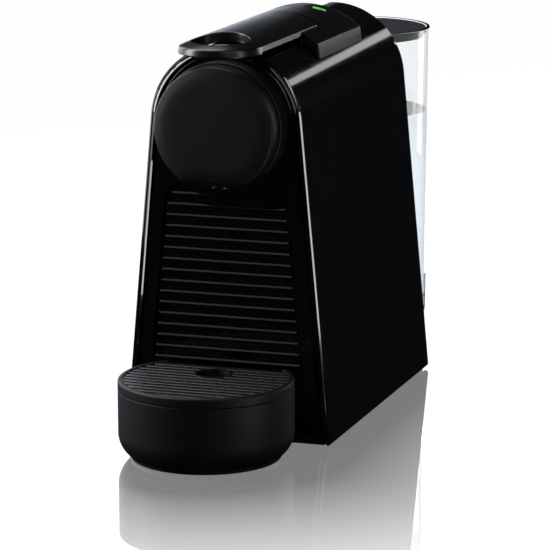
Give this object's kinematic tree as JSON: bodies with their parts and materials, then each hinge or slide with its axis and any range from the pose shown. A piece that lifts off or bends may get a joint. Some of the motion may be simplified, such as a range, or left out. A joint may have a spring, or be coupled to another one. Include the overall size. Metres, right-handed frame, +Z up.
{
  "type": "pod coffee machine",
  "caption": "Small pod coffee machine: arched sleeve, round brewing head, lift lever with a finger eye, ribbed capsule drawer, round drip tray and clear rear water tank.",
  "frame": {"origin": "on the worktop, under the middle of the machine's whole length and width", "axes": "+Z up, -Y towards the user (the drip tray side), +X to the user's right"},
  "size_m": [0.11, 0.3316, 0.208],
  "materials": {
    "gloss_black": "polished moulded ABS",
    "satin_black": "fine spark-eroded moulding",
    "clear_plastic": "clear moulded SAN",
    "black_rubber": "matt",
    "hose_silicone": "milky",
    "steel": "rolled",
    "cast_aluminium": "as cast",
    "grey_plastic": "moulded, glass filled",
    "pump_metal": "zinc plated",
    "board_green": "solder mask",
    "board_components": "moulded"
  },
  "bodies": {
    "housing": {"outer_shell": "gloss_black", "face_plate": "gloss_black", "head_ring": "satin_black", "head_cap": "satin_black", "coffee_spout": "satin_black", "hood": "gloss_black", "lever_pin": "steel", "button_board": "board_green", "button_switches": "board_components", "base_plate": "satin_black", "rubber_feet": "black_rubber", "base_screws": "steel", "capsule_plate": "grey_plastic", "brew_frame": "steel", "bulkhead": "grey_plastic", "inlet_block": "grey_plastic", "stem_seal": "black_rubber", "pump": "pump_metal", "pump_mounts": "black_rubber", "pump_bracket": "grey_plastic", "heater": "cast_aluminium", "flow_meter": "grey_plastic", "suction_hose": "hose_silicone", "pressure_hose": "hose_silicone", "brew_hose": "hose_silicone", "inlet_hose": "hose_silicone", "rear_cover": "satin_black", "cable_gland": "black_rubber", "main_board": "board_green", "board_parts": "board_components", "tank_socket": "grey_plastic", "tank_stand": "satin_black"},
    "lever": {"lever": "gloss_black"},
    "cage": {"capsule_cage": "grey_plastic", "needle_plate": "steel"},
    "front_links": {"front_links": "steel"},
    "rear_links": {"rear_links": "steel"},
    "button_left": {"button_left": "gloss_black"},
    "button_right": {"button_right": "gloss_black"},
    "drip_drawer": {"drip_tray": "satin_black", "capsule_container": "satin_black", "ribbed_panel": "satin_black"},
    "drip_grid": {"drip_grid": "satin_black"},
    "water_tank": {"water_tank": "clear_plastic", "lid_pin": "steel"},
    "tank_lid": {"tank_lid": "satin_black"},
    "tank_valve": {"tank_valve": "grey_plastic"}
  },
  "joints": [
    {"name": "lever_lift", "type": "hinge", "parent": "housing", "child": "lever", "pos_m": [0, -0.01287, 0.1975], "axis": [-1, 0, 0], "range_deg": [0, 75]},
    {"name": "cage_slide", "type": "slide", "parent": "housing", "child": "cage", "axis": [0, 1, 0], "range_m": [0, 0.0342]},
    {"name": "front_link_turn", "type": "hinge", "parent": "cage", "child": "front_links", "pos_m": [0, -0.03537, 0.16], "axis": [1, 0, 0], "range_deg": [0, 68.4]},
    {"name": "rear_link_turn", "type": "hinge", "parent": "housing", "child": "rear_links", "pos_m": [0, 0.01912, 0.16], "axis": [-1, 0, 0], "range_deg": [0, 68.4]},
    {"name": "button_left_press", "type": "slide", "parent": "housing", "child": "button_left", "axis": [0, 0, -1], "range_m": [0, 0.0012], "stiffness_N_per_m": 400, "springref_m": -0.0006},
    {"name": "button_right_press", "type": "slide", "parent": "housing", "child": "button_right", "axis": [0, 0, -1], "range_m": [0, 0.0012], "stiffness_N_per_m": 400, "springref_m": -0.0006},
    {"name": "drawer_slide", "type": "slide", "parent": "housing", "child": "drip_drawer", "axis": [0, -1, 0], "range_m": [0, 0.115]},
    {"name": "grid_lift", "type": "slide", "parent": "drip_drawer", "child": "drip_grid", "axis": [0, 0, 1], "range_m": [0, 0.06]},
    {"name": "tank_lift", "type": "slide", "parent": "housing", "child": "water_tank", "axis": [0, 0, 1], "range_m": [0, 0.12]},
    {"name": "lid_turn", "type": "hinge", "parent": "water_tank", "child": "tank_lid", "pos_m": [0, 0.09663, 0.1863], "axis": [1, 0, 0], "range_deg": [0, 95]},
    {"name": "valve_lift", "type": "slide", "parent": "water_tank", "child": "tank_valve", "axis": [0, 0, 1], "range_m": [0, 0.0025], "stiffness_N_per_m": 120, "springref_m": -0.002}
  ],
  "couplings": [
    {"joint": "cage_slide", "follows": "lever_lift", "m_per_rad": 0.025974},
    {"joint": "front_link_turn", "follows": "lever_lift", "ratio": 0.9054},
    {"joint": "rear_link_turn", "follows": "lever_lift", "ratio": 0.9054}
  ]
}
